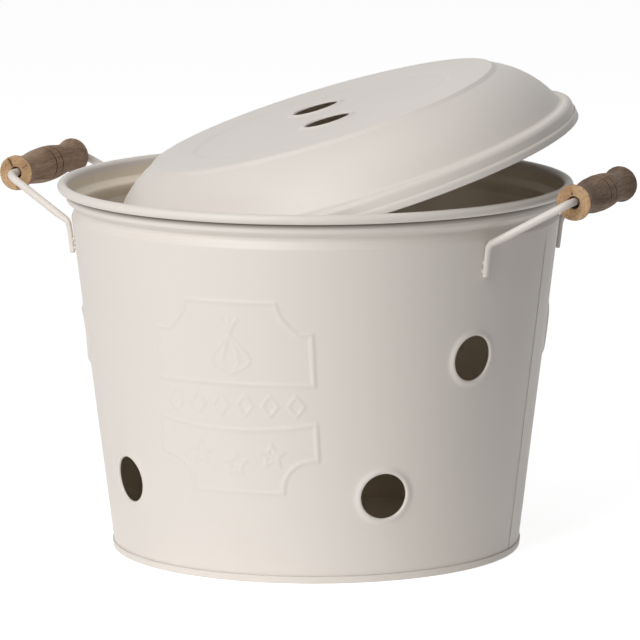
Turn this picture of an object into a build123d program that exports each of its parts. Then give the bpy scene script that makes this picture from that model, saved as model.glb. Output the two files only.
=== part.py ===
from build123d import *
import math
import os

# Round sheet steel pail for storing onions, with a loose lid that lies ajar in its mouth.
# Origin: middle of the foot ring on the floor. +Z up, handles along X, embossed emblem towards -Y.
# A heading is an angle in plan, in degrees, from the front (-Y) round towards +X.

# Wall: two half shells that together make a cone, widening towards the rim
wall_sheet = 0.7
foot_radius = 106.4
wall_top_radius = 127.4
wall_top_height = 172.0
wall_bend_radius = 14.0
seam_gap = 0.04
cutter = 1000.0  # side of the boxes that cut a shape in two, longer than the whole pail
spare = 1.0  # how far a cutting shape runs past the face that it cuts

# Neck: a groove pressed inwards under the rim, which carries the closed lid
neck_depth = 2.15
neck_rise = 6.8
neck_bend_radius = 3.0
collar_rise = 13.3
collar_bend_radius = 4.0

# Rim: the top edge of the wall rolled outwards over a wire
rim_overhang = 7.6
rim_rise = 21.65
bead_diameter = 5.3
bead_wrap_angle = 300.0
wire_clearance = 0.05

# Bottom pan: its edge is folded round the foot of the wall as a flat hem
pan_sheet = 0.7
pan_recess = 4.0
pan_bend_radius = 1.2
hem_height = 4.2
hem_fold_radius = 0.5
fold_clearance = 0.03

# Air holes and the raised lips round them
hole_diameter = 24.4
lip_width = 4.0
lip_height = 1.2
lip_outer_round = 1.05
lip_inner_round = 0.35
low_hole_height = 45.5
low_hole_heading = 38.3
front_low_hole_turn = 1.6
high_hole_height = 113.8
high_hole_heading = 63.6

# Embossed emblem on the front: two framed panels, a bulb, a row of lozenges and three stars
emblem_relief = 0.55
emblem_turn = 1.1
ridge_width = 2.2
fine_ridge_width = 1.3
emblem_half_width = 41.6
upper_bar_half_width = 24.3
upper_frame_top = 147.2
upper_shoulder_height = 131.2
upper_shoulder_width = 6.6
upper_arc_inset = 3.3
upper_arc_drop = 8.4
upper_frame_bottom = 104.6
lower_frame_top = 84.0
lower_frame_sag = 3.6
lower_side_bottom = 65.2
lower_bar_half_width = 24.2
lower_arc_inset = 3.6
lower_arc_drop = 6.0
lower_frame_bottom = 47.7
lozenge_count = 6
lozenge_pitch = 13.0
lozenge_width = 8.2
lozenge_height = 11.0
lozenge_level = 93.6
star_radius = 6.4
star_notch_radius = 2.6
star_pitch = 19.2
star_level = 67.2
middle_star_drop = 4.9
bulb_level = 117.6
bulb_radius = 10.1
bulb_belly_drop = 1.0
bulb_foot_drop = 7.7
bulb_neck_width = 2.9
bulb_neck_rise = 9.6
bulb_top_rise = 12.0
bulb_skin_share = 0.42
leaf_lean = 4.7
leaf_length = 9.5

# Handles: bent round wire, spot-welded to the wall, with a turned wooden grip
handle_wire = 4.1
grip_standoff = 21.1
grip_rise = 0.35
handle_corner = 45.0
handle_corner_bend = 6.5
leg_heading = 25.1
leg_rise = 0.9
leg_length = 16.9
leg_bend = 3.6
weld_gap = 0.5
weld_clearance = 0.01
weld_diameter = 2.8
weld_pitch = 4.5
weld_first = 2.9

grip_length = 73.2
grip_end_radius = 9.4
grip_waist_radius = 7.7
grip_belly_radius = 9.4
grip_belly_fall = 0.1
grip_flank_place = 14.0
grip_flank_radius = 8.6
grip_waist_place = 25.5
grip_bore = 6.0
grip_hang = 0.6
grip_edge_round = 0.8
grip_edge_fall = 0.5
grip_belly_slope = -0.03
grip_end_slope = 0.16
groove_place = 3.8
groove_width = 1.1
groove_depth = 0.55

# Lid: one pressing with a flat top, a domed side, a shoulder and a folded edge
lid_sheet = 0.6
lid_clearance = 1.2
lid_hem_height = 3.9
lid_hem_step = 1.8
lid_hem_fold = 0.85
lid_shoulder_height = 11.6
lid_shoulder_bend = 3.4
lid_shoulder_width = 7.0
lid_foot_bend = 2.2
lid_dome_width = 10.0
lid_dome_drop = 9.8
lid_dome_bend = 50.0
lid_dome_side = 19.0
lid_panel_height = 38.9
lid_panel_step = 2.0
lid_step_width = 2.2
lid_step_bend = 1.3
lid_dish_margin = 21.9
lid_dish_depth = 0.5
lid_dish_slope = 3.0
lid_dish_bend = 5.0
lid_hole_pitch = 53.0

# Where the lid lies: tipped, its low edge inside the wall, its underside across the rim
lid_tilt = 16.6
lid_high_side = 27.6
lid_turn = 91.0
lid_shift = (12.8, 6.5)
lid_sink = 3.15

# Derived sizes
wall_slope = (wall_top_radius - foot_radius) / wall_top_height
wall_lean = math.degrees(math.atan(wall_slope))
neck_radius = wall_top_radius - neck_depth
neck_height = wall_top_height + neck_rise
collar_height = wall_top_height + collar_rise
rim_height = wall_top_height + rim_rise
rim_radius = wall_top_radius + rim_overhang
collar_radius = rim_radius - bead_diameter + wall_sheet
bead_radius = bead_diameter / 2
bead_center_radius = rim_radius - bead_radius
bead_center_height = rim_height - bead_radius
curl_radius = bead_radius - wall_sheet / 2
rim_wire_radius = bead_radius - wall_sheet - wire_clearance
hole_radius = hole_diameter / 2
lip_radius = hole_radius + lip_width
lid_radius = collar_radius - wall_sheet - lid_clearance
lid_foot_radius = lid_radius - lid_shoulder_width
lid_dome_reach = lid_foot_radius - lid_dome_width
lid_panel_radius = lid_dome_reach - lid_dome_side
lid_dish_radius = lid_panel_radius - lid_dish_margin
grip_reach = rim_radius + grip_standoff
grip_height = rim_height + grip_rise
leg_top = wall_top_height + leg_rise
leg_bottom = leg_top - leg_length


def wall_radius(height, outward=0.0):
    """Radius of the wall's outside at a height, plus a distance outwards."""
    return foot_radius + wall_slope * height + outward


def sheet_ring(points, bends, thickness, curl=None):
    """Turn a bent strip of sheet, given by its middle line in radius and height, about the Z axis."""
    strip = FilletPolyline(*[(r, 0, z) for r, z in points], radius=bends)
    edges = list(strip.edges())
    if curl is not None:
        edges.append(curl)
    section = make_face(Wire(edges).offset_2d(thickness / 2))
    one_side = Pos(cutter / 2, 0, 0) * Box(cutter, cutter, cutter)
    return revolve(section & one_side, Axis.Z)


def cone(outward, low, high):
    """Solid cone inside the wall's outer face, moved outwards by a distance."""
    bottom = wall_radius(low, outward)
    top = wall_radius(high, outward)
    return Pos(0, 0, (low + high) / 2) * Cone(bottom, top, high - low)


def raised_skin(relief, low, high):
    """Layer from the middle of the wall's sheet to a relief above its outer face."""
    return cone(relief, low, high) - cone(-wall_sheet / 2, low - spare, high + spare)


def at_wall(heading, height):
    """Place on the wall's outer face: local Z points straight out of the sheet."""
    turn = Rot(Z=heading - 90)
    return turn * Pos(wall_radius(height), 0, height) * Rot(Y=90 + wall_lean)


def half_wall():
    """The front half of the wall, before its holes: cone, neck, collar and rolled rim."""
    middle = wall_sheet / 2
    start = pan_sheet + fold_clearance + middle
    points = [
        (wall_radius(start) - middle, start),
        (wall_top_radius - middle, wall_top_height),
        (neck_radius - middle, neck_height),
        (collar_radius - middle, collar_height),
        (collar_radius - middle, bead_center_height),
    ]
    bends = [wall_bend_radius, neck_bend_radius, collar_bend_radius]
    center = Plane((bead_center_radius, 0, bead_center_height), x_dir=(1, 0, 0), z_dir=(0, -1, 0))
    curl = center * CenterArc((0, 0), curl_radius, 180, -bead_wrap_angle)
    wall = sheet_ring(points, bends, wall_sheet, curl.edges()[0])
    front = Pos(0, -(cutter + seam_gap) / 2, 0) * Box(cutter, cutter, cutter)
    return wall & front


def lip_ring(above, below):
    """Plain ring round a hole, along local Z, before it is trimmed to the sheet."""
    length = above + below
    ring = Cylinder(lip_radius, length) - Cylinder(hole_radius, length)
    return Pos(0, 0, (above - below) / 2) * ring


def round_lip(ring, place):
    """Round the two top edges of a lip: the wide flank outside and the small edge at the hole."""
    local = place.inverse() * ring
    tops = local.edges().sort_by(Axis.Z)[-2:].sort_by(SortBy.LENGTH)
    rounded = fillet(tops[-1], lip_outer_round)
    round_the_hole = 2 * math.pi * hole_radius
    inner = rounded.edges().filter_by(lambda e: abs(e.length - round_the_hole) < spare)
    return place * fillet(inner.sort_by(Axis.Z)[-1], lip_inner_round)


def wall_lip(place, height):
    """Raised lip that follows the curve of the wall."""
    reach = 2 * lip_radius
    ring = place * lip_ring(lip_radius, lip_radius)
    near_side = place * Pos(0, 0, reach / 2) * Box(2 * reach, 2 * reach, 2 * reach)
    skin = raised_skin(lip_height, height - reach, height + reach)
    return round_lip(ring & skin & near_side, place)


def vented(shell, headings_and_heights):
    """Punch the air holes of one half shell and raise their lips."""
    for heading, height in headings_and_heights:
        place = at_wall(heading, height)
        shell = shell - place * Cylinder(hole_radius, 4 * hole_radius)
        shell = shell + wall_lip(place, height)
    return shell


def star_points(x, z):
    """Corners of a five-pointed star, one point up."""
    corners = []
    for i in range(10):
        reach = star_notch_radius if i % 2 else star_radius
        angle = math.radians(90 + i * 360 / 10)
        corners.append((x + reach * math.cos(angle), z + reach * math.sin(angle)))
    return corners


def emblem_sketch():
    """Ridges of the emblem, drawn flat in width and height."""
    side = emblem_half_width
    bar = upper_bar_half_width
    low_bar = lower_bar_half_width
    inner = side - upper_shoulder_width
    shoulder = upper_shoulder_height
    lines = []
    for s in (-1, 1):
        lines += [
            ThreePointArc(
                (s * bar, upper_frame_top),
                (s * (bar + upper_arc_inset), upper_frame_top - upper_arc_drop),
                (s * inner, shoulder),
            ),
            Line((s * inner, shoulder), (s * side, shoulder)),
            Line((s * side, shoulder), (s * side, upper_frame_bottom)),
            Line((s * side, lower_frame_top), (s * side, lower_side_bottom)),
            ThreePointArc(
                (s * side, lower_side_bottom),
                (s * (low_bar + lower_arc_inset), lower_side_bottom - lower_arc_drop),
                (s * low_bar, lower_frame_bottom),
            ),
        ]
    lines += [
        Line((-bar, upper_frame_top), (bar, upper_frame_top)),
        Line((-side, upper_frame_bottom), (side, upper_frame_bottom)),
        ThreePointArc(
            (-side, lower_frame_top),
            (0, lower_frame_top - lower_frame_sag),
            (side, lower_frame_top),
        ),
        Line((-low_bar, lower_frame_bottom), (low_bar, lower_frame_bottom)),
    ]
    ridges = Sketch() + [trace(line, ridge_width) for line in lines]
    for i in range(3):
        x = (i - 1) * star_pitch
        z = star_level - (middle_star_drop if i == 1 else 0)
        ridges += make_face(Polyline(*star_points(x, z), close=True))
    for i in range(lozenge_count):
        x = (i - (lozenge_count - 1) / 2) * lozenge_pitch
        ridges += Pos(x, lozenge_level) * lozenge()
    return ridges + Pos(0, bulb_level) * bulb()


def lozenge():
    """One hollow lozenge of the middle row."""
    w = lozenge_width / 2
    h = lozenge_height / 2
    outline = Polyline((w, 0), (0, h), (-w, 0), (0, -h), close=True)
    return trace(outline, fine_ridge_width)


def bulb():
    """Onion bulb in outline, with its skins as curved lines and three short leaves."""
    foot = (0, -bulb_foot_drop)
    top = (0, bulb_top_rise)
    skins = []
    for share in (-1, -bulb_skin_share, bulb_skin_share, 1):
        belly = (share * bulb_radius, -bulb_belly_drop)
        neck = (share * bulb_neck_width, bulb_neck_rise)
        skins.append(Spline(foot, belly, neck, top))
    tips = [(side * leaf_lean, bulb_top_rise + leaf_length) for side in (-1, 0, 1)]
    leaves = [Line(top, tip) for tip in tips]
    return Sketch() + [trace(line, fine_ridge_width) for line in skins + leaves]


def emblem():
    """The emblem as raised sheet, following the curve of the wall."""
    flat = Plane.XZ * emblem_sketch()
    block = extrude(flat, amount=rim_radius)
    low = lower_frame_bottom - ridge_width
    high = upper_frame_top + ridge_width
    return Rot(Z=emblem_turn) * (block & raised_skin(emblem_relief, low, high))


def front_shell():
    low = [(front_low_hole_turn + s * low_hole_heading, low_hole_height) for s in (-1, 1)]
    high = [(s * high_hole_heading, high_hole_height) for s in (-1, 1)]
    return vented(half_wall(), low + high) + emblem()


def rear_shell():
    low = [(s * low_hole_heading, low_hole_height) for s in (-1, 1)]
    high = [(s * high_hole_heading, high_hole_height) for s in (-1, 1)]
    return Rot(Z=180) * vented(half_wall(), low + high)


def bottom_pan():
    """Recessed floor of the pail and the hem that grips the foot of the wall."""
    middle = pan_sheet / 2
    apart = wall_sheet / 2 + fold_clearance + middle
    floor = pan_recess + middle
    points = [
        (-spare, floor),
        (wall_radius(floor) - wall_sheet / 2 - apart, floor),
        (wall_radius(middle) - wall_sheet / 2 - apart, middle),
        (wall_radius(middle) - wall_sheet / 2 + apart, middle),
        (wall_radius(hem_height) - wall_sheet / 2 + apart, hem_height - middle),
    ]
    return sheet_ring(points, [pan_bend_radius, hem_fold_radius, hem_fold_radius], pan_sheet)


def rim_wire():
    return Pos(0, 0, bead_center_height) * Torus(bead_center_radius, rim_wire_radius)


def handle_rod():
    """The right handle's wire: up the wall, out to the grip, through it and back down the wall."""
    off_wall = handle_wire / 2 + weld_gap

    def leg_point(side, height):
        angle = math.radians(90 - leg_heading)
        r = wall_radius(height, off_wall / math.cos(math.radians(wall_lean)))
        return (r * math.sin(angle), -side * r * math.cos(angle), height)

    axis_height = grip_height + grip_hang
    points = [
        leg_point(1, leg_bottom),
        leg_point(1, leg_top),
        (grip_reach, -handle_corner, axis_height),
        (grip_reach, handle_corner, axis_height),
        leg_point(-1, leg_top),
        leg_point(-1, leg_bottom),
    ]
    path = FilletPolyline(*points, radius=[leg_bend, handle_corner_bend, handle_corner_bend, leg_bend])
    start = Plane(path @ 0, z_dir=path % 0)
    rod = sweep(start * Circle(handle_wire / 2), path=path)
    for side in (1, -1):
        heading = 90 - side * leg_heading
        for i in range(2):
            place = at_wall(heading, leg_bottom + weld_first + i * weld_pitch)
            rod += place * Pos(0, 0, off_wall / 2) * Cylinder(weld_diameter / 2, off_wall)
    return rod - cone(weld_clearance, leg_bottom - handle_wire, leg_top + spare)


def grip():
    """Turned wooden grip of the right handle, bored through, hanging on its wire."""
    half = grip_length / 2
    crest = groove_place - groove_width / 2
    outer = groove_place + groove_width / 2
    groove_floor = grip_belly_radius - groove_depth
    belly_edge = grip_belly_radius - grip_belly_fall
    side = [
        Spline(
            (outer, belly_edge),
            (grip_flank_place, grip_flank_radius),
            (grip_waist_place, grip_waist_radius),
            (half - grip_edge_round, grip_end_radius),
            tangents=((1, grip_belly_slope), (1, grip_end_slope)),
        ),
        Polyline(
            (half - grip_edge_round, grip_end_radius),
            (half, grip_end_radius - grip_edge_fall),
            (half, grip_bore / 2),
            (0, grip_bore / 2),
            (0, grip_belly_radius),
        ),
        ThreePointArc(
            (0, grip_belly_radius),
            (crest / 2, grip_belly_radius - grip_belly_fall / 4),
            (crest, belly_edge),
        ),
        Polyline((crest, belly_edge), (groove_place, groove_floor), (outer, belly_edge)),
    ]
    section = make_face(Curve() + side)
    half_grip = revolve(section, Axis.X)
    whole = half_grip + mirror(half_grip, Plane.YZ)
    return Pos(grip_reach, 0, grip_height) * Rot(Z=90) * whole


def lid():
    """The lid in its own frame, standing on its folded edge, then laid ajar in the mouth."""
    middle = lid_sheet / 2
    top = lid_panel_height - middle
    dish = top - lid_dish_depth
    hem_outer = lid_radius - middle
    band = hem_outer - lid_hem_step
    shoulder = lid_shoulder_height - middle
    step_radius = lid_panel_radius + lid_step_width
    points = [
        (-spare, dish),
        (lid_dish_radius - lid_dish_slope, dish),
        (lid_dish_radius, top),
        (lid_panel_radius, top),
        (step_radius, top - lid_panel_step),
        (lid_dome_reach, top - lid_dome_drop),
        (lid_foot_radius, shoulder),
        (band, shoulder),
        (band, middle),
        (hem_outer, middle),
        (hem_outer, lid_hem_height - middle),
    ]
    bends = [
        lid_dish_bend,
        lid_dish_bend,
        lid_step_bend,
        lid_step_bend,
        lid_dome_bend,
        lid_foot_bend,
        lid_shoulder_bend,
        lid_hem_fold,
        lid_hem_fold,
    ]
    shape = sheet_ring(points, bends, lid_sheet)
    surface = dish + middle
    for side in (-1, 1):
        place = Pos(side * lid_hole_pitch / 2, 0, surface)
        shape -= place * Cylinder(hole_radius, 4 * lip_height)
        shape += round_lip(place * lip_ring(lip_height, middle), place)
    lie = Pos(*lid_shift, rim_height - lid_sink) * Rot(Z=lid_high_side) * Rot(Y=-lid_tilt) * Rot(Z=lid_turn)
    return lie * shape


def save(name, shape):
    export_step(shape, f"parts/{name}.step")


os.makedirs("parts", exist_ok=True)
save("front_shell", front_shell())
save("rear_shell", rear_shell())
save("bottom_pan", bottom_pan())
save("rim_wire", rim_wire())
save("right_handle_rod", handle_rod())
save("left_handle_rod", Rot(Z=180) * handle_rod())
save("right_grip", grip())
save("left_grip", Rot(Z=180) * grip())
save("lid", lid())
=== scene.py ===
import math

import bmesh
import bpy
import numpy as np
from mathutils import Matrix, Vector, noise


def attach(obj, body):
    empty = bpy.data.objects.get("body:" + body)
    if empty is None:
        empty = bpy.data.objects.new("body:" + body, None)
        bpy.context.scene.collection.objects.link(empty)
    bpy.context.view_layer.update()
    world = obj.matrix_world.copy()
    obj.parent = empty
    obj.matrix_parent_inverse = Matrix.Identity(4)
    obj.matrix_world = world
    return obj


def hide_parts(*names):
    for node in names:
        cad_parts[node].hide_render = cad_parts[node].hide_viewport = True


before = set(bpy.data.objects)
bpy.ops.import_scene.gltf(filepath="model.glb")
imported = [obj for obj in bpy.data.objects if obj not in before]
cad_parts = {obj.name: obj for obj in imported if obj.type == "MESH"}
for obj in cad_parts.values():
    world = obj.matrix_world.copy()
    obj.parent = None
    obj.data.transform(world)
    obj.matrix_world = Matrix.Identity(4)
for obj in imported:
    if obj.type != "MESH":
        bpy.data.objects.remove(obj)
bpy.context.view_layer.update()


# Cream paint. A powder coat baked on the steel: satin, with a faint orange peel that catches the light
# and a slow drift in tone. The inside takes a warmer, slightly brighter copy of the cream: painted bounce
# light.
def group_socket(tree, name, kind, direction, value=None):
    socket = tree.interface.new_socket(name=name, in_out=direction, socket_type=kind)
    if value is not None:
        socket.default_value = value


coat = bpy.data.node_groups.new("powder coat", "ShaderNodeTree")
group_socket(coat, "Tone", "NodeSocketColor", "INPUT", (0.74, 0.70, 0.64, 1))
group_socket(coat, "Drift", "NodeSocketFloat", "INPUT", 0.03)
group_socket(coat, "Sheen", "NodeSocketFloat", "INPUT", 0.42)
group_socket(coat, "Color", "NodeSocketColor", "OUTPUT")
group_socket(coat, "Roughness", "NodeSocketFloat", "OUTPUT")
group_socket(coat, "Height", "NodeSocketFloat", "OUTPUT")


def node(tree, kind, links=(), **values):
    """Adds a node, sets its fields and unlinked inputs, and links the given sockets to its inputs."""
    made = tree.nodes.new(kind)
    for name, value in values.items():
        if hasattr(made, name):
            setattr(made, name, value)
        else:
            made.inputs[name.replace("_", " ")].default_value = value
    for socket, source in links:
        tree.links.new(source, made.inputs[socket])
    return made


def sum_up(tree, operation, *terms):
    """A Math node whose terms are sockets or plain numbers; gives its result."""
    made = node(tree, "ShaderNodeMath", operation=operation)
    for i, term in enumerate(terms):
        if isinstance(term, bpy.types.NodeSocket):
            tree.links.new(term, made.inputs[i])
        else:
            made.inputs[i].default_value = term
    return made.outputs[0]


speck_share, speck_floor = 0.04, 0.035
gloss_share = 0.10
into = node(coat, "NodeGroupInput")
out = node(coat, "NodeGroupOutput")
where = node(coat, "ShaderNodeTexCoord").outputs["Object"]
peel = node(coat, "ShaderNodeTexNoise", [("Vector", where)], Scale=620.0, Detail=3.0, Roughness=0.55)
cloud = node(coat, "ShaderNodeTexNoise", [("Vector", where)], Scale=16.0, Detail=2.0, Roughness=0.5)
fleck = node(coat, "ShaderNodeTexNoise", [("Vector", where)], Scale=2100.0, Detail=1.0)
drift = sum_up(coat, "MULTIPLY", cloud.outputs["Fac"], into.outputs["Drift"])
speck = sum_up(coat, "MULTIPLY_ADD", fleck.outputs["Fac"], speck_share, drift)
darkness = sum_up(coat, "SUBTRACT", speck, speck_floor)
dark = node(coat, "ShaderNodeHueSaturation", [("Color", into.outputs["Tone"])], Saturation=1.15, Value=0.80)
tone = node(coat, "ShaderNodeMix", [("Factor", darkness)], data_type="RGBA", clamp_factor=True)
coat.links.new(into.outputs["Tone"], tone.inputs[6])
coat.links.new(dark.outputs["Color"], tone.inputs[7])
gloss = sum_up(coat, "MULTIPLY_ADD", cloud.outputs["Fac"], gloss_share, into.outputs["Sheen"])
coat.links.new(tone.outputs[2], out.inputs["Color"])
coat.links.new(gloss, out.inputs["Roughness"])
coat.links.new(peel.outputs["Fac"], out.inputs["Height"])


def paint(name, tone, drift, sheen, depth):
    """A coat of paint: its tone, how far the tone drifts, its sheen and the depth of its orange peel."""
    made = bpy.data.materials.new(name)
    made.use_nodes = True
    tree = made.node_tree
    shader = tree.nodes["Principled BSDF"]
    film = node(tree, "ShaderNodeGroup", node_tree=coat)
    film.inputs["Tone"].default_value = (*tone, 1)
    film.inputs["Drift"].default_value = drift
    film.inputs["Sheen"].default_value = sheen
    bump = node(
        tree, "ShaderNodeBump", [("Height", film.outputs["Height"])], Distance=depth, Strength=0.5
    )
    tree.links.new(film.outputs["Color"], shader.inputs["Base Color"])
    tree.links.new(film.outputs["Roughness"], shader.inputs["Roughness"])
    tree.links.new(bump.outputs["Normal"], shader.inputs["Normal"])
    shader.inputs["IOR"].default_value = 1.48
    return made


# The second tone is painted bounce light for the inside: a warmer, slightly brighter copy of the cream.
cream_tone, bounce_lit_tone = (0.745, 0.690, 0.635), (0.80, 0.71, 0.59)
peel_depth = 0.00006
cream = paint("cream powder coat", cream_tone, 0.04, 0.40, peel_depth)
bounce_lit_cream = paint("inside cream with painted bounce light", bounce_lit_tone, 0.08, 0.52, peel_depth)


# Wall. Two half shells of 0.7 mm steel, rolled to a cone that widens upwards and joined at the sides under
# the handles. A groove is pressed in under the top edge, and that edge is rolled outwards over a wire.
# Sizes are in millimetres and headings in degrees from the front.
wall_sheet = 0.7
foot_radius = 106.05
wall_slope = 21.0 / 172.0
wall_lean = math.atan(wall_slope)
foot_height = 1.1
emblem_low, emblem_high = 44.0, 151.0
shoulder_height = 175.0
neck_foot = (125.95, 178.9)
neck = (125.7, 181.2)
collar = (130.0, 184.0)
bead_center = (132.5, 191.15)
bead_radius = 2.15
bead_wrap = math.radians(300)
bead_steps = 22
bead_foot = 188.5
neck_bends = [2.2, 2.6, 1.6, 1.5]
foot_rows, shoulder_rows = 14, 5
neck_steps = [1, 1, 1, 3]
bend_step = 8.0
seam_top = 168
wander, wander_length = 0.09, 46.0
calm_foot, calm_run = 6, 20


def wall_radius(height):
    return foot_radius + wall_slope * height


def form(bm, blank, points, bends, parts, arc_step=12.0):
    """Forms a wire or a sheet's edge along a path: draws out its runs, spins its bends about their centres."""
    points = [Vector(p) for p in points]
    here = points[0]
    for i, corner in enumerate(points[1:]):
        way = (corner - here).normalized()
        bend = bends[i] if i < len(bends) else 0
        onward = (points[i + 2] - corner).normalized() if bend else way
        turn = way.angle(onward) if bend else 0
        trim = bend * math.tan(turn / 2)
        stop = corner - way * trim
        drawn = bmesh.ops.spin(
            bm, geom=blank, cent=here, axis=(0, 0, 1), dvec=(stop - here) / parts[i], angle=0, steps=parts[i]
        )
        blank = drawn["geom_last"]
        here = corner + onward * trim
        if turn:
            axis = way.cross(onward).normalized()
            center = stop + axis.cross(way) * bend
            steps = max(3, math.ceil(math.degrees(turn) / arc_step))
            bent = bmesh.ops.spin(bm, geom=blank, cent=center, axis=axis, angle=turn, steps=steps)
            blank = bent["geom_last"]
    return blank


def flat(points):
    return [(r, 0, z) for r, z in points]


def turn_about_z(bm, degrees):
    matrix = Matrix.Rotation(math.radians(degrees), 3, "Z")
    bmesh.ops.rotate(bm, verts=bm.verts, cent=(0, 0, 0), matrix=matrix)


def turn_sheet(bm, spans):
    """Turns the drawn line about Z, from the first heading on, in spans of (heading at the end, steps)."""
    start = spans[0][0]
    turn_about_z(bm, start - 90)
    line = bm.edges[:] + bm.verts[:]
    for stop, steps in spans[1:]:
        line = bmesh.ops.spin(
            bm, geom=line, cent=(0, 0, 0), axis=(0, 0, 1), angle=math.radians(stop - start), steps=steps,
            use_merge=stop - start == 360,
        )["geom_last"]
        start = stop


def wall_line(bm, emblem_rows):
    """The wall's middle line from foot to rolled rim."""
    corners = flat([
        (wall_radius(foot_height), foot_height),
        (wall_radius(emblem_low), emblem_low),
        (wall_radius(emblem_high), emblem_high),
        (wall_radius(shoulder_height), shoulder_height),
        neck_foot,
        neck,
        collar,
        (bead_center[0] - bead_radius, bead_center[1]),
    ])
    parts = [foot_rows, emblem_rows, shoulder_rows] + neck_steps
    end = form(bm, [bm.verts.new(corners[0])], corners, [0, 0] + neck_bends, parts, bend_step)
    center = (bead_center[0], 0, bead_center[1])
    bmesh.ops.spin(bm, geom=end, cent=center, axis=(0, 1, 0), angle=bead_wrap, steps=bead_steps)


def seam_edge(bm, heading, width, height):
    """Raises the sheet towards its side edge, where it laps the other half."""
    for v in bm.verts:
        if v.co.z > seam_top:
            continue
        away = math.radians(heading) - math.atan2(v.co.x, -v.co.y)
        away = abs((away + math.pi) % (2 * math.pi) - math.pi) * math.hypot(v.co.x, v.co.y)
        if away < width:
            rise = 1 - away / width
            v.co += outward(v.co) * height * rise * rise * (3 - 2 * rise)


def outward(co):
    """Direction straight out of the wall at a point on it."""
    around = Vector((co.x, co.y, 0)).normalized()
    return around * math.cos(wall_lean) - Vector((0, 0, math.sin(wall_lean)))


def piece(name, bm, body, stands_for, materials, sheet=0.0, outside=None):
    """Finishes a piece made in millimetres. A sheet gets its thickness and faces the way outside gives."""
    bmesh.ops.recalc_face_normals(bm, faces=bm.faces)
    if outside:
        if sum(f.normal.dot(outside(f.calc_center_median())) * f.calc_area() for f in bm.faces) < 0:
            bmesh.ops.reverse_faces(bm, faces=bm.faces)
    bmesh.ops.scale(bm, vec=(0.001, 0.001, 0.001), verts=bm.verts)
    for face in bm.faces:
        face.smooth = True
    mesh = bpy.data.meshes.new(name)
    bm.to_mesh(mesh)
    bm.free()
    made = bpy.data.objects.new(name, mesh)
    bpy.context.scene.collection.objects.link(made)
    for material in materials:
        mesh.materials.append(material)
    if sheet:
        thick = made.modifiers.new("sheet", "SOLIDIFY")
        thick.thickness = sheet / 1000
        thick.offset = 0
        thick.material_offset = 1
    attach(made, body)
    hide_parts(*stands_for)
    return made


# Air holes. Eight round holes punched through the wall, four in each half, with the sheet round each one
# pressed outwards into a soft raised lip that turns in again at the hole.
hole_steps = 72
cleared_radius, cleared_depth = 18.0, -6
search_radius, search_depth = 27, -10
lip_rings = [
    (17.2, 0.0), (16.4, 0.03), (15.7, 0.12), (15.1, 0.28), (14.6, 0.5), (14.15, 0.74), (13.75, 0.94),
    (13.4, 1.07), (13.05, 1.13), (12.75, 1.10), (12.5, 0.97), (12.33, 0.76), (12.22, 0.48), (12.2, 0.2),
]


def wall_place(heading, height):
    """Frame on the wall's middle: X round the wall, Y up it, Z straight out."""
    angle = math.radians(heading)
    middle = Vector((math.sin(angle), -math.cos(angle), 0)) * wall_radius(height) + Vector((0, 0, height))
    out_way = outward(middle)
    round_way = Vector((math.cos(angle), math.sin(angle), 0))
    up_way = out_way.cross(round_way)
    return Matrix((round_way, up_way, out_way)).transposed().to_4x4(), middle


def seat_on_wall(co, out_way):
    """Moves a point along a direction until it lies in the wall's middle."""
    for _ in range(4):
        co = co - out_way * (math.hypot(co.x, co.y) - wall_radius(co.z)) * math.cos(wall_lean)
    return co


def circle(bm, radius, steps, place):
    """A ring of vertices and edges at a place."""
    made = bmesh.ops.create_circle(bm, cap_ends=False, radius=radius, segments=steps, matrix=place)
    return made["verts"], list(dict.fromkeys(e for v in made["verts"] for e in v.link_edges))


def punch_hole(bm, heading, height):
    """Cuts the wall round a hole, then draws the sheet from there through the rings of the lip."""
    turn, middle = wall_place(heading, height)
    place = Matrix.Translation(middle) @ turn
    back = place.inverted()
    out_way = turn.to_3x3() @ Vector((0, 0, 1))
    gone = []
    for face in bm.faces:
        if face.calc_center_median().dot(middle) > 0:
            corners = [back @ v.co for v in face.verts]
            if any(co.z > cleared_depth and math.hypot(co.x, co.y) < cleared_radius for co in corners):
                gone.append(face)
    bmesh.ops.delete(bm, geom=gone, context="FACES")
    cut = []
    for edge in bm.edges:
        if edge.is_boundary:
            co = back @ edge.verts[0].co
            if co.z > search_depth and math.hypot(co.x, co.y) < search_radius:
                cut.append(edge)
    blank, ring = circle(bm, lip_rings[0][0], hole_steps, place)
    for v in blank:
        v.co = seat_on_wall(v.co, out_way)
    bmesh.ops.bridge_loops(bm, edges=cut + ring)
    for radius, rise in lip_rings[1:]:
        grown = bmesh.ops.extrude_edge_only(bm, edges=ring)["geom"]
        ring = [g for g in grown if isinstance(g, bmesh.types.BMEdge) and g.is_boundary]
        for v in {v for e in ring for v in e.verts}:
            local = back @ v.co
            local.z = 0
            local *= radius / local.length
            v.co = seat_on_wall(place @ local, out_way) + out_way * rise


# Emblem. Pressed into the front half before it was rolled: two framed panels, a bulb in outline, a row of
# lozenges and three stars, all as soft ridges about half a millimetre high.
press_turn = 1.1
press_front, press_reach = -60, 56
half_width = 41.6
upper_bar, upper_top, shoulder_side, shoulder_level, upper_foot = 24.3, 147.2, 35.0, 131.2, 104.6
lower_bar, lower_top, lower_side, lower_foot = 24.2, 84.0, 65.2, 47.7
bulb_foot, bulb_top = (0, 109.9), (0, 129.6)
skin_lines = (-1, -0.42, 0.42, 1)
belly_half, belly_level, throat_half, throat_level = 10.1, 116.6, 2.9, 127.2
star_places = [(-19.2, 67.2), (0, 62.3), (19.2, 67.2)]
star_tip, star_notch = 6.6, 2.7
lozenge_count, lozenge_pitch = 6, 13.0
lozenge_level, lozenge_reach, lozenge_rise = 93.6, 4.1, 5.5
broad_half, broad_height = 1.75, 0.6
fine_half, fine_height = 1.15, 0.45


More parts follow.
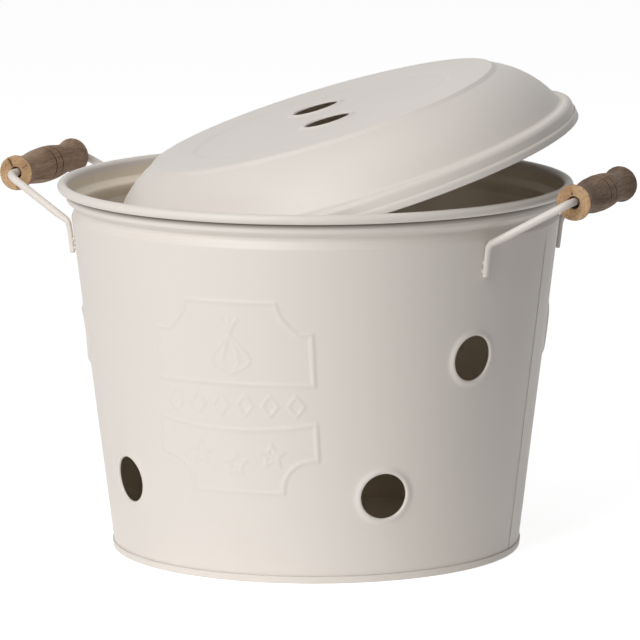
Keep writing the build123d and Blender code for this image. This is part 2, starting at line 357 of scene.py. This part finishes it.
def arc_points(a, b, c, parts=14):
    """Points on the arc through three points."""
    (ax, ay), (bx, by), (cx, cy) = a, b, c
    d = 2 * (ax * (by - cy) + bx * (cy - ay) + cx * (ay - by))
    sa, sb, sc = ax * ax + ay * ay, bx * bx + by * by, cx * cx + cy * cy
    ox = (sa * (by - cy) + sb * (cy - ay) + sc * (ay - by)) / d
    oy = (sa * (cx - bx) + sb * (ax - cx) + sc * (bx - ax)) / d
    start, end = math.atan2(ay - oy, ax - ox), math.atan2(cy - oy, cx - ox)
    sweep = (end - start + math.pi) % (2 * math.pi) - math.pi
    radius = math.hypot(ax - ox, ay - oy)
    angles = [start + sweep * i / parts for i in range(parts + 1)]
    return [(ox + radius * math.cos(t), oy + radius * math.sin(t)) for t in angles]


def curve_points(points, parts=10):
    """Points on a smooth curve through the given ones."""
    p = [points[0]] + points + [points[-1]]
    made = [points[0]]
    for i in range(1, len(p) - 2):
        for k in range(1, parts + 1):
            t = k / parts
            made.append(tuple(
                0.5 * (2 * p[i][n] + (p[i + 1][n] - p[i - 1][n]) * t
                       + (2 * p[i - 1][n] - 5 * p[i][n] + 4 * p[i + 1][n] - p[i + 2][n]) * t * t
                       + (3 * p[i][n] - p[i - 1][n] - 3 * p[i + 1][n] + p[i + 2][n]) * t ** 3)
                for n in (0, 1)
            ))
    return made


def star_points(x, z):
    reach = [star_tip if i % 2 == 0 else star_notch for i in range(11)]
    return [
        (x + r * math.cos(math.radians(90 + 36 * i)), z + r * math.sin(math.radians(90 + 36 * i)))
        for i, r in enumerate(reach)
    ]


broad_lines = [
    [(-upper_bar, upper_top), (upper_bar, upper_top)],
    [(-half_width, upper_foot), (half_width, upper_foot)],
    arc_points((-half_width, lower_top), (0, 80.4), (half_width, lower_top)),
    [(-lower_bar, lower_foot), (lower_bar, lower_foot)],
]
for side in (-1, 1):
    edge = side * half_width
    shoulder = (side * shoulder_side, shoulder_level)
    corner = arc_points((side * upper_bar, upper_top), (side * 27.6, 138.8), shoulder)
    broad_lines += [
        corner + [(edge, shoulder_level), (edge, upper_foot)],
        [(edge, lower_top), (edge, lower_side)],
        arc_points((edge, lower_side), (side * 27.8, 59.2), (side * lower_bar, lower_foot)),
    ]
fine_lines = [star_points(x, z) for x, z in star_places]
for i in range(lozenge_count):
    x = (i - (lozenge_count - 1) / 2) * lozenge_pitch
    right, left = (x + lozenge_reach, lozenge_level), (x - lozenge_reach, lozenge_level)
    top, foot = (x, lozenge_level + lozenge_rise), (x, lozenge_level - lozenge_rise)
    fine_lines.append([right, top, left, foot, right])
for share in skin_lines:
    belly, throat = (share * belly_half, belly_level), (share * throat_half, throat_level)
    fine_lines.append(curve_points([bulb_foot, belly, throat, bulb_top]))
for lean in (-1, 0, 1):
    fine_lines.append(curve_points([bulb_top, (lean * 1.6, 134.5), (lean * 4.7, 139.1)]))


def ridge(points, lines, half, height):
    """Height of soft ridges along lines, at points given across and up the front."""
    near = np.full(len(points), 1e9)
    for line in lines:
        for a, b in zip(line, line[1:]):
            a, way = np.array(a), np.array(b) - np.array(a)
            along = np.clip((points - a) @ way / (way @ way), 0, 1)
            near = np.minimum(near, np.linalg.norm(points - a - along[:, None] * way, axis=1))
    rise = np.clip(1 - near / half, 0, 1)
    return height * rise * rise * (3 - 2 * rise)


def press_emblem(bm):
    turn = math.radians(press_turn)
    front = [
        v for v in bm.verts
        if v.co.y < press_front and emblem_low - 1 < v.co.z < emblem_high + 1 and abs(v.co.x) < press_reach
    ]
    across = np.array([[v.co.x * math.cos(turn) + v.co.y * math.sin(turn), v.co.z] for v in front])
    broad = ridge(across, broad_lines, broad_half, broad_height)
    high = np.maximum(broad, ridge(across, fine_lines, fine_half, fine_height))
    for v, rise in zip(front, high):
        v.co += outward(v.co) * float(rise)


def buckle(bm):
    """Thin sheet is never quite true: lets the wall wander by under a tenth of a millimetre."""
    for v in bm.verts:
        fade = min(1, max(0, v.co.z - calm_foot) / calm_run) * min(1, max(0, seam_top - v.co.z) / calm_run)
        v.co += outward(v.co) * fade * wander * noise.noise(v.co / wander_length)


# The two halves. The rear one laps the front one at the side seams. Under the rolled rim both have a narrow
# slot that gets no light, and the coat there is darkened as painted shade.
side_seam = 91.7
wall_gap = 0.04
edge_strip, seam_strip = 0.15, 4
emblem_start, emblem_stop = -23.5, 25.5
front_rows, rear_rows = 143, 46
lap_width, lap_rise = 8.0, 0.28
tucked_width, tucked_rise = 3.0, -0.12
low_hole, high_hole = 45.5, 113.8
front_holes = [(-36.7, low_hole), (39.9, low_hole), (-63.6, high_hole), (63.6, high_hole)]
rear_holes = [(180 - 38.3, low_hole), (180 + 38.3, low_hole), (180 - 63.6, high_hole), (180 + 63.6, high_hole)]
# Painted shade: a dark band on the outside of the wall just under the rolled rim, in the slot it overhangs.
painted_slot_shade = (0.13, 0.105, 0.08, 1)
slot_foot, slot_roof = 0.1855, 0.1881
slot_mouth, slot_back = 0.1320, 0.1312
wall_cream_slot_shaded = paint("cream coat on the wall with painted slot shade", cream_tone, 0.04, 0.40, peel_depth)
tree = wall_cream_slot_shaded.node_tree
shader = tree.nodes["Principled BSDF"]
open_coat = shader.inputs["Base Color"].links[0].from_socket
place = node(tree, "ShaderNodeTexCoord").outputs["Object"]
up = node(tree, "ShaderNodeSeparateXYZ", [("Vector", place)]).outputs["Z"]
flat_place = node(tree, "ShaderNodeVectorMath", [(0, place)], operation="MULTIPLY")
flat_place.inputs[1].default_value = (1, 1, 0)
reach = node(tree, "ShaderNodeVectorMath", [(0, flat_place.outputs[0])], operation="LENGTH").outputs["Value"]
deep = node(tree, "ShaderNodeMapRange", [("Value", up)], From_Min=slot_foot, From_Max=slot_roof)
tight = node(tree, "ShaderNodeMapRange", [("Value", reach)], From_Min=slot_mouth, From_Max=slot_back)
slot_shade_mask = sum_up(tree, "MULTIPLY", deep.outputs[0], tight.outputs[0])
slot_shaded = node(tree, "ShaderNodeMix", [(0, slot_shade_mask), (6, open_coat)], data_type="RGBA")
slot_shaded.inputs[7].default_value = painted_slot_shade
tree.links.new(slot_shaded.outputs[2], shader.inputs["Base Color"])
# The sheets' inner sides take the inside coat with its painted bounce light; the rolled rim keeps the plain
# cream.
wall_paints = [wall_cream_slot_shaded, bounce_lit_cream, cream, cream]
lid_paints = [cream, bounce_lit_cream, cream, cream]


def mark_bead(bm):
    """The rolled rim shows the sheet's inner side out in the open, so both its sides take the plain cream, not
    the inside's painted bounce light.
    """
    for face in bm.faces:
        if face.calc_center_median().z > bead_foot:
            face.material_index = 2


bm = bmesh.new()
wall_line(bm, front_rows)
turn_sheet(bm, [
    (-side_seam,), (-side_seam + edge_strip, 1), (-side_seam + seam_strip, 6),
    (emblem_start, 34), (emblem_stop, 131), (side_seam - seam_strip, 34),
    (side_seam - edge_strip, 6), (side_seam, 1),
])
seam_edge(bm, -side_seam, tucked_width, tucked_rise)
seam_edge(bm, side_seam, tucked_width, tucked_rise)
buckle(bm)
press_emblem(bm)
for heading, height in front_holes:
    punch_hole(bm, heading, height)
mark_bead(bm)
piece("front_wall_sheet", bm, "pail", ["front_shell"], wall_paints, wall_sheet, outward)

bm = bmesh.new()
wall_line(bm, rear_rows)
start, stop = side_seam + wall_gap, 360 - side_seam - wall_gap
turn_sheet(bm, [
    (start,), (start + edge_strip, 1), (start + seam_strip, 6),
    (stop - seam_strip, 84), (stop - edge_strip, 6), (stop, 1),
])
seam_edge(bm, start, lap_width, lap_rise)
seam_edge(bm, stop, lap_width, lap_rise)
buckle(bm)
for heading, height in rear_holes:
    punch_hole(bm, heading, height)
mark_bead(bm)
piece("rear_wall_sheet", bm, "pail", ["rear_shell"], wall_paints, wall_sheet, outward)


# Bottom pan. Sheet steel, set 4 mm up inside the wall. Its edge goes down, round the foot of the wall and up
# again outside, pressed flat as the hem that the pail stands on.
pan_sheet = 0.7
pan_floor, pan_foot, hem_top = 4.35, 0.35, 3.85
pan_bends, pan_steps = [1.2, 0.5, 0.5], [12, 3, 1, 4]
pan_center, near_center = 0.4, 20
apart = 0.73
full_turn = [(90,), (450, 180)]
inner, outer = wall_radius(pan_foot) - apart, wall_radius(pan_foot) + apart
hem = flat([
    (pan_center, pan_floor), (inner + 0.4, pan_floor), (inner, pan_foot), (outer, pan_foot),
    (wall_radius(4.2) + apart, hem_top),
])
bm = bmesh.new()
form(bm, [bm.verts.new(hem[0])], hem, pan_bends, pan_steps, 15.0)
turn_sheet(bm, full_turn)
bmesh.ops.holes_fill(bm, edges=[e for e in bm.edges if e.is_boundary and e.verts[0].co.length < near_center])
piece(
    "bottom_pan_sheet", bm, "pail", ["bottom_pan"], [cream, bounce_lit_cream], pan_sheet,
    lambda co: Vector((0, 0, -1)),
)


# Rim wire. Plain steel wire inside the rolled rim, out of sight but for the roll's open underside. The solid
# is kept as it is and only gets a finish: dull drawn steel, never painted.
steel = bpy.data.materials.new("bare wire")
steel.use_nodes = True
tree = steel.node_tree
shader = tree.nodes["Principled BSDF"]
where = node(tree, "ShaderNodeTexCoord").outputs["Object"]
draw = node(tree, "ShaderNodeTexNoise", [("Vector", where)], Scale=900.0, Detail=2.0).outputs["Fac"]
dull = node(tree, "ShaderNodeMapRange", [("Value", draw)], To_Min=0.35, To_Max=0.6)
tint = node(tree, "ShaderNodeValToRGB", [("Fac", draw)])
tint.color_ramp.elements[0].color = (0.30, 0.28, 0.26, 1)
tint.color_ramp.elements[1].color = (0.48, 0.46, 0.43, 1)
tree.links.new(dull.outputs[0], shader.inputs["Roughness"])
tree.links.new(tint.outputs[0], shader.inputs["Base Color"])
shader.inputs["Metallic"].default_value = 1.0
for material_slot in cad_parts["rim_wire"].material_slots:
    material_slot.material = steel


# Handles. Round steel wire, bent cold, with its two legs laid against the wall, pressed nearly flat there and
# held by two weld beads each. They are painted with the wall, so the beads are rounded by the coat.
wire_radius = 2.05
grip_reach, rod_height = 155.9, 194.35
tip_up = 0.004
leg_heading = 25.1
leg_top, leg_bottom = 172.9, 156.0
leg_bend, corner_bend, half_run = 3.4, 6.5, 45.0
handle_bends, handle_steps = [leg_bend, corner_bend, corner_bend, leg_bend], [8, 12, 24, 12, 8]
weld_gap, weld_sink = 0.5, 0.1
pressed_gap, pressed_share, pressed_reach = 0.3, 0.68, 9
press_lead, press_run = 1.5, 5
end_round = 0.45
weld_heights = (leg_bottom + 2.9, leg_bottom + 7.4)
weld_lump = Matrix.Diagonal((1.75, 1.5, 1.0, 1))


def leg_point(side, height, off=0.0):
    """A point on the wire's middle where it runs down the wall."""
    angle = math.radians(90 - leg_heading)
    reach = wall_radius(height) + wall_sheet / 2 + (wire_radius + weld_gap + off) / math.cos(wall_lean)
    return Vector((reach * math.sin(angle), -side * reach * math.cos(angle), height))


def bend_handle(bm, tip):
    """Bends one handle's wire, presses its legs to the wall, rounds its ends and sets the weld beads."""
    path = [
        leg_point(1, leg_bottom), leg_point(1, leg_top), (grip_reach, -half_run, rod_height - half_run * tip),
        (grip_reach, half_run, rod_height + half_run * tip), leg_point(-1, leg_top), leg_point(-1, leg_bottom),
    ]
    way = (path[1] - path[0]).normalized()
    place = Matrix.Translation(path[0]) @ way.to_track_quat("Z", "X").to_matrix().to_4x4()
    blank, ring = circle(bm, wire_radius, 20, place)
    form(bm, blank + ring, path, handle_bends, handle_steps, 7.0)
    for v in bm.verts:
        off = (math.hypot(v.co.x, v.co.y) - wall_radius(v.co.z)) * math.cos(wall_lean) - wall_sheet / 2
        pressed = min(1, max(0, (leg_top + press_lead - v.co.z) / press_run))
        if off < pressed_reach:
            v.co -= outward(v.co) * pressed * (off - pressed_gap - (off - weld_gap) * pressed_share)
    ends = [e for e in bm.edges if e.is_boundary]
    bmesh.ops.holes_fill(bm, edges=ends)
    bmesh.ops.bevel(
        bm, geom=ends, offset=end_round, offset_type="OFFSET", segments=3, profile=0.5, affect="EDGES",
        material=-1,
    )
    for side in (1, -1):
        for height in weld_heights:
            spot = leg_point(side, height, -wire_radius - weld_sink)
            turn = outward(spot).to_track_quat("Z", "Y").to_matrix().to_4x4()
            place = Matrix.Translation(spot) @ turn @ weld_lump
            bmesh.ops.create_uvsphere(bm, u_segments=16, v_segments=10, radius=1.0, matrix=place)


for name, tip, half_turn in (("right", tip_up, 0), ("left", -tip_up, 180)):
    bm = bmesh.new()
    bend_handle(bm, tip)
    turn_about_z(bm, half_turn)
    piece(f"{name}_handle_wire", bm, "pail", [f"{name}_handle_rod"], [cream])


# Grips. Turned from a pale hardwood, bored through and left raw: the flanks have gone grey-brown with
# handling and washing, the sawn ends are still tan and have cracked. Two turned grooves mark the middle,
# dark in the cut and rubbed tan beside it.
ring_share = 0.25
grain = bpy.data.node_groups.new("wood grain", "ShaderNodeTree")
group_socket(grain, "Vector", "NodeSocketVector", "INPUT")
group_socket(grain, "Streak", "NodeSocketFloat", "OUTPUT")
group_socket(grain, "Pores", "NodeSocketFloat", "OUTPUT")
group_socket(grain, "Blotch", "NodeSocketFloat", "OUTPUT")
into = node(grain, "NodeGroupInput")
out = node(grain, "NodeGroupOutput")
long_way = node(grain, "ShaderNodeMapping", [("Vector", into.outputs["Vector"])], Scale=(1.0, 0.05, 1.0))
rings = node(
    grain, "ShaderNodeTexWave", [("Vector", long_way.outputs[0])], wave_type="BANDS",
    bands_direction="DIAGONAL", Scale=60.0, Distortion=6.0, Detail=3.0, Detail_Scale=2.0, Detail_Roughness=0.6,
).outputs["Fac"]
fibre = node(
    grain, "ShaderNodeTexNoise", [("Vector", long_way.outputs[0])], Scale=1500.0, Detail=4.0, Roughness=0.7
).outputs["Fac"]
blotch = node(
    grain, "ShaderNodeTexNoise", [("Vector", into.outputs["Vector"])], Scale=120.0, Detail=3.0, Roughness=0.6
).outputs["Fac"]
pores = node(grain, "ShaderNodeMapRange", [("Value", fibre)], From_Min=0.36, From_Max=0.46)
grain.links.new(sum_up(grain, "MULTIPLY_ADD", rings, ring_share, fibre), out.inputs["Streak"])
grain.links.new(pores.outputs[0], out.inputs["Pores"])
grain.links.new(blotch, out.inputs["Blotch"])


def ramp(tree, source, stops):
    """A colour ramp through (place, colour) stops."""
    made = node(tree, "ShaderNodeValToRGB", [("Fac", source)])
    points = made.color_ramp.elements
    while len(points) < len(stops):
        points.new(0.5)
    for point, (place, color) in zip(points, stops):
        point.position = place
        point.color = (*color, 1)
    return made.outputs[0]


def mix(tree, factor, a, b):
    made = node(tree, "ShaderNodeMix", data_type="RGBA")
    for socket, value in ((0, factor), (6, a), (7, b)):
        if isinstance(value, bpy.types.NodeSocket):
            tree.links.new(value, made.inputs[socket])
        else:
            made.inputs[socket].default_value = value
    return made.outputs[2]


flank_stops = [(0.35, (0.110, 0.064, 0.039)), (0.58, (0.190, 0.120, 0.077)), (0.85, (0.285, 0.195, 0.130))]
worn_stops = [(0.3, (0.24, 0.14, 0.07)), (0.8, (0.44, 0.28, 0.15))]
end_stops = [(0.30, (0.38, 0.225, 0.115)), (0.52, (0.53, 0.335, 0.18)), (0.72, (0.64, 0.44, 0.26))]
speck_tone, groove_tone = (0.20, 0.115, 0.055, 1), (0.034, 0.021, 0.013, 1)
groove_place = 0.00395
rub_edge, rub_crest = 0.0020, 0.0009
cut_edge, cut_floor = 0.0007, 0.0003
sawn_start, sawn_full = 0.0359, 0.0363


def wood(name, shift, tone):
    """The wood of one grip: shift moves its grain, and tone lightens or darkens its flanks as painted light and
    shade.
    """
    made = bpy.data.materials.new(name)
    made.use_nodes = True
    tree = made.node_tree
    shader = tree.nodes["Principled BSDF"]
    place = node(tree, "ShaderNodeTexCoord").outputs["Object"]
    moved = node(tree, "ShaderNodeMapping", [("Vector", place)], Location=shift)
    figure = node(tree, "ShaderNodeGroup", [("Vector", moved.outputs[0])], node_tree=grain)
    flank = ramp(tree, figure.outputs["Streak"], [
        (stop, tuple(tone * level for level in color)) for stop, color in flank_stops
    ])
    worn = ramp(tree, figure.outputs["Streak"], worn_stops)
    along = node(tree, "ShaderNodeSeparateXYZ", [("Vector", place)]).outputs["Y"]
    off_middle = sum_up(tree, "ABSOLUTE", along)
    off_groove = sum_up(tree, "ABSOLUTE", sum_up(tree, "SUBTRACT", off_middle, groove_place))
    crest = node(tree, "ShaderNodeMapRange", [("Value", off_groove)], From_Min=rub_edge, From_Max=rub_crest)
    rubbed = sum_up(tree, "MULTIPLY", crest.outputs[0], figure.outputs["Blotch"])
    side = mix(tree, rubbed, flank, worn)
    cut = node(tree, "ShaderNodeMapRange", [("Value", off_groove)], From_Min=cut_edge, From_Max=cut_floor)
    side = mix(tree, cut.outputs[0], side, groove_tone)
    ends = ramp(tree, figure.outputs["Blotch"], end_stops)
    fleck = node(tree, "ShaderNodeTexNoise", [("Vector", place)], Scale=1500.0, Detail=2.0)
    dots = node(tree, "ShaderNodeMapRange", [("Value", fleck.outputs["Fac"])], From_Min=0.56, From_Max=0.68)
    ends = mix(tree, dots.outputs[0], ends, speck_tone)
    sawn = node(tree, "ShaderNodeMapRange", [("Value", off_middle)], From_Min=sawn_start, From_Max=sawn_full)
    tree.links.new(mix(tree, sawn.outputs[0], side, ends), shader.inputs["Base Color"])
    rough = node(tree, "ShaderNodeMapRange", [("Value", figure.outputs["Streak"])], To_Min=0.85, To_Max=0.62)
    tree.links.new(rough.outputs[0], shader.inputs["Roughness"])
    bump = node(tree, "ShaderNodeBump", [("Height", figure.outputs["Pores"])], Distance=0.00025, Strength=0.6)
    tree.links.new(bump.outputs["Normal"], shader.inputs["Normal"])
    shader.inputs["Specular IOR Level"].default_value = 0.3
    return made


grip_height = 194.0
grip_steps = 90
bored_radius, end_face, cracked_face = 3.4, 36.1, 36.2
fibre_rise, dent_depth = 0.10, 0.12
fibre_across, fibre_along, dent_scale = 0.9, 0.09, 0.16
end_fibre, end_sink = 0.07, 0.08
crack_half_width = 0.34
half_profile = [
    (0.0, 9.40), (1.0, 9.40), (2.2, 9.38), (3.1, 9.34), (3.5, 9.24), (3.95, 8.82), (4.4, 9.22), (4.8, 9.30),
    (6.5, 9.26), (9.0, 9.12), (11.5, 8.90), (14.0, 8.62), (17.0, 8.24), (20.0, 7.92), (23.0, 7.74),
    (25.5, 7.70), (28.0, 7.82), (30.5, 8.14), (32.8, 8.66), (34.5, 9.14), (35.4, 9.38), (36.0, 9.36),
    (36.4, 9.12), (36.6, 8.6), (36.6, 7.7), (36.6, 6.6), (36.6, 5.5), (36.6, 4.5), (36.6, 3.8), (36.45, 3.35),
    (36.1, 3.15),
]
left_cracks = [
    (1, 62, 3.6, 8.4, 1.6), (1, 147, 4.8, 8.0, 1.2), (1, 262, 5.2, 8.4, 0.9), (-1, 40, 3.6, 7.0, 1.0),
]
right_cracks = [(1, 210, 5.0, 8.4, 0.6), (-1, 100, 3.6, 6.4, 0.8)]


def turn_grip(bm, seed, cracks):
    """Turns and bores the grip about Y, raises its grain and opens its cracks.

    A crack is given as end, angle in degrees, nearest and farthest radius, and depth."""
    outline = [(y, r) for y, r in reversed(half_profile)] + [(-y, r) for y, r in half_profile[1:]]
    line = [bm.verts.new((r, -y, 0)) for y, r in outline]
    for a, b in zip(line, line[1:]):
        bm.edges.new((a, b))
    bore = bm.edges.new((line[-1], line[0]))
    bmesh.ops.subdivide_edges(bm, edges=[bore], cuts=6)
    bmesh.ops.spin(
        bm, geom=bm.verts[:] + bm.edges[:], cent=(0, 0, 0), axis=(0, 1, 0), angle=2 * math.pi, steps=grip_steps,
        use_merge=True,
    )
    bmesh.ops.remove_doubles(bm, verts=bm.verts, dist=0.001)
    for v in bm.verts:
        reach = math.hypot(v.co.x, v.co.z)
        if reach < bored_radius:
            continue
        away = Vector((v.co.x, 0, v.co.z)) / reach
        drawn = Vector((v.co.x * fibre_across, v.co.y * fibre_along, v.co.z * fibre_across))
        fibre = noise.noise(drawn + Vector((seed, 0, 0)))
        dent = noise.noise(v.co * dent_scale + Vector((0, seed, 0)))
        if abs(v.co.y) < end_face:
            v.co += away * (fibre_rise * fibre + dent_depth * dent)
        else:
            v.co.y += math.copysign(end_fibre * fibre, v.co.y) - math.copysign(end_sink, v.co.y)
    for end, angle, first, last, depth in cracks:
        for v in bm.verts:
            reach = math.hypot(v.co.x, v.co.z)
            if v.co.y * end < cracked_face or not first < reach < last:
                continue
            off = abs((math.atan2(v.co.z, v.co.x) - math.radians(angle) + math.pi) % (2 * math.pi) - math.pi)
            if off * reach < crack_half_width:
                v.co.y -= end * depth


# Painted light and shade: the left grip's flanks are lightened (1.38) and the right's darkened (0.9) to even
# out how the light falls on them.
for name, seed, half_turn, tone, cracks in (
    ("left", 3.0, 180, 1.38, left_cracks),
    ("right", 11.0, 0, 0.9, right_cracks),
):
    bm = bmesh.new()
    turn_grip(bm, seed, cracks)
    bmesh.ops.translate(bm, verts=bm.verts, vec=(grip_reach, 0, grip_height))
    turn_about_z(bm, half_turn)
    bmesh.ops.rotate(bm, verts=bm.verts, cent=(0, 0, grip_height), matrix=Matrix.Rotation(tip_up, 3, "X"))
    body = f"{name}_grip"
    raw_wood = wood(f"{name} grip wood", (0.013 * seed, 0.02, 0.005 * seed), tone)
    grip = piece(f"{name}_wooden_grip", bm, body, [body], [raw_wood])
    smooth = grip.modifiers.new("turned", "SUBSURF")
    smooth.levels = smooth.render_levels = 1


# Lid. One pressing of 0.6 mm steel with a flat, faintly dished top, a domed side, a shoulder and an edge
# folded outwards as a hem. It lies tipped, with its low edge inside the wall and its underside across the rim.
lid_sheet = 0.6
dish_height = 38.1
finger_hole_place = 26.5
hem_start = 121
lid_points = flat([
    (60.0, dish_height), (67.5, dish_height), (70.5, 38.6), (92.5, 38.6), (94.7, 36.6), (111.5, 28.8),
    (121.5, 9.8), (126.5, 11.1), (127.55, 0.3), (128.2, 0.3), (127.75, 4.4),
])
lid_bends = [5.0, 5.0, 1.2, 2.2, 52.0, 2.8, 3.0, 0.3, 0.3]
lid_steps = [3, 1, 6, 1, 1, 1, 1, 3, 1, 2]
lid_tilt, lid_high_side, lid_turn = 16.6, 27.6, 91.0
lid_center = (12.8, 6.5, 190.47)
bm = bmesh.new()
form(bm, [bm.verts.new(lid_points[0])], lid_points, lid_bends, lid_steps, 6.0)
turn_sheet(bm, full_turn)
edges = [e for e in bm.edges if e.is_boundary and abs(e.verts[0].co.z - dish_height) < 0.1]
rings = []
for side in (-1, 1):
    middle = Vector((side * finger_hole_place, 0, dish_height))
    ring = circle(bm, lip_rings[0][0], hole_steps, Matrix.Translation(middle))[1]
    edges += ring
    rings.append((middle, ring))
bmesh.ops.triangle_fill(bm, use_beauty=True, use_dissolve=False, edges=edges)
for middle, ring in rings:
    for radius, rise in lip_rings[1:]:
        grown = bmesh.ops.extrude_edge_only(bm, edges=ring)["geom"]
        ring = [g for g in grown if isinstance(g, bmesh.types.BMEdge) and g.is_boundary]
        for v in {v for e in ring for v in e.verts}:
            away = (v.co - middle) * Vector((1, 1, 0))
            v.co = middle + away * (radius / away.length) + Vector((0, 0, rise))
# The hem takes the plain cream on both sides, not the inside's painted bounce light.
for face in bm.faces:
    if math.hypot(*face.calc_center_median().xy) > hem_start:
        face.material_index = 2
lie = (
    Matrix.Translation(lid_center)
    @ Matrix.Rotation(math.radians(lid_high_side), 4, "Z")
    @ Matrix.Rotation(math.radians(-lid_tilt), 4, "Y")
    @ Matrix.Rotation(math.radians(lid_turn), 4, "Z")
)
bmesh.ops.transform(bm, matrix=lie, verts=bm.verts)
piece("lid_pressing", bm, "lid", ["lid"], lid_paints, lid_sheet, lambda co: Vector((0, 0, 1)))


# Floor, light and camera. A white studio floor that runs out into a white backdrop: the camera sees it nearly
# blown out, with a faint shadow, while its other rays meet a plain pale floor. In front of the pail that floor
# glows in a soft pool, a painted pool of light with no lamp, and throws some brightness back up the wall.
floor_half, flag_half = 6.0, 0.45
glow_pool_place = (-0.08, -0.14, 0)
white = bpy.data.materials.new("pale floor")
white.use_nodes = True
tree = white.node_tree
shader = tree.nodes["Principled BSDF"]
shader.inputs["Base Color"].default_value = (0.92, 0.92, 0.92, 1)
shader.inputs["Roughness"].default_value = 0.9


def seen_ray(tree):
    """1 for what the camera sees, also in metal and glass."""
    path = node(tree, "ShaderNodeLightPath")
    seen = path.outputs["Is Camera Ray"]
    for other in ("Is Glossy Ray", "Is Transmission Ray"):
        seen = sum_up(tree, "MAXIMUM", seen, path.outputs[other])
    return seen


def stage_square(name, half, material):
    """A flat square of the studio, lying on the origin."""
    bm = bmesh.new()
    bmesh.ops.create_grid(bm, x_segments=1, y_segments=1, size=half)
    mesh = bpy.data.meshes.new(name)
    bm.to_mesh(mesh)
    bm.free()
    mesh.materials.append(material)
    made = bpy.data.objects.new(name, mesh)
    bpy.context.scene.collection.objects.link(made)
    return made


# Painted pool of light: for rays other than the camera's, the floor glows near the pail.
spot = node(tree, "ShaderNodeTexCoord").outputs["Object"]
away = node(tree, "ShaderNodeVectorMath", [(0, spot)], operation="DISTANCE")
away.inputs[1].default_value = glow_pool_place
floor_glow = node(
    tree, "ShaderNodeMapRange", [("Value", away.outputs["Value"])], From_Min=0.40, From_Max=0.12, To_Max=0.25
)
tree.links.new(floor_glow.outputs[0], shader.inputs["Emission Strength"])
shader.inputs["Emission Color"].default_value = (1.0, 0.99, 0.97, 1)
shaded = node(tree, "ShaderNodeBsdfDiffuse", Color=(0.45, 0.45, 0.45, 1))
bright = node(tree, "ShaderNodeEmission", Color=(1, 1, 1, 1), Strength=0.86)
lit = node(tree, "ShaderNodeAddShader", [(0, shaded.outputs[0]), (1, bright.outputs[0])])
view = node(tree, "ShaderNodeMixShader", [(0, seen_ray(tree)), (1, shader.outputs[0]), (2, lit.outputs[0])])
tree.links.new(view.outputs[0], tree.nodes["Material Output"].inputs["Surface"])
floor = stage_square("floor", floor_half, white)

world = bpy.data.worlds.new("studio")
bpy.context.scene.world = world
world.use_nodes = True
sky = world.node_tree
backdrop = sky.nodes["Background"]
backdrop.inputs["Color"].default_value = (1, 1, 1, 1)
level = node(sky, "ShaderNodeMapRange", [("Value", seen_ray(sky))], To_Min=0.2, To_Max=1.0)
sky.links.new(level.outputs[0], backdrop.inputs["Strength"])


def softbox(name, place, aim, width, height, watts, color=(1, 1, 1)):
    lamp = bpy.data.lights.new(name, "AREA")
    lamp.shape = "RECTANGLE"
    lamp.size, lamp.size_y = width, height
    lamp.energy = watts
    lamp.color = color
    made = bpy.data.objects.new(name, lamp)
    bpy.context.scene.collection.objects.link(made)
    made.location = place
    made.rotation_euler = (Vector(aim) - Vector(place)).to_track_quat("-Z", "Y").to_euler()
    return made


pail_middle = (0, 0, 0.13)
softbox("key softbox", (-0.36, -1.66, 1.19), pail_middle, 1.3, 1.3, 26.6)
softbox("top softbox", (0, -0.17, 2.12), pail_middle, 1.3, 1.3, 6, (0.97, 0.985, 1.0))

# A black cloth to the right, out of the camera's sight, keeps that side of the wall in shade.
black = bpy.data.materials.new("black cloth")
black.use_nodes = True
shader = black.node_tree.nodes["Principled BSDF"]
shader.inputs["Base Color"].default_value = (0.02, 0.02, 0.02, 1)
shader.inputs["Roughness"].default_value = 1.0
flag = stage_square("black_flag", flag_half, black)
flag.location = (0.86, -0.16, 0.42)
flag.rotation_euler = (0, math.radians(90), 0)
flag.visible_camera = flag.visible_glossy = False

elevation, azimuth, distance = math.radians(9.27), math.radians(22.04), 2.9353
aim_aside, aim_height = 0.002198, 0.11892
roll_degrees = -0.14
aim = Vector((math.cos(azimuth), math.sin(azimuth), 0)) * aim_aside + Vector((0, 0, aim_height))
flat_back = Vector((math.sin(azimuth), -math.cos(azimuth), 0)) * math.cos(elevation)
back = flat_back + Vector((0, 0, math.sin(elevation)))
lens = bpy.data.cameras.new("camera")
lens.lens, lens.sensor_width = 314.3, 36.0
lens.clip_end = 50.0
camera = bpy.data.objects.new("camera", lens)
bpy.context.scene.collection.objects.link(camera)
camera.location = aim + back * distance
roll = Matrix.Rotation(math.radians(roll_degrees), 3, "Z")
camera.rotation_euler = ((-back).to_track_quat("-Z", "Y").to_matrix() @ roll).to_euler()
bpy.context.scene.camera = camera
bpy.context.scene.view_settings.view_transform = "Standard"
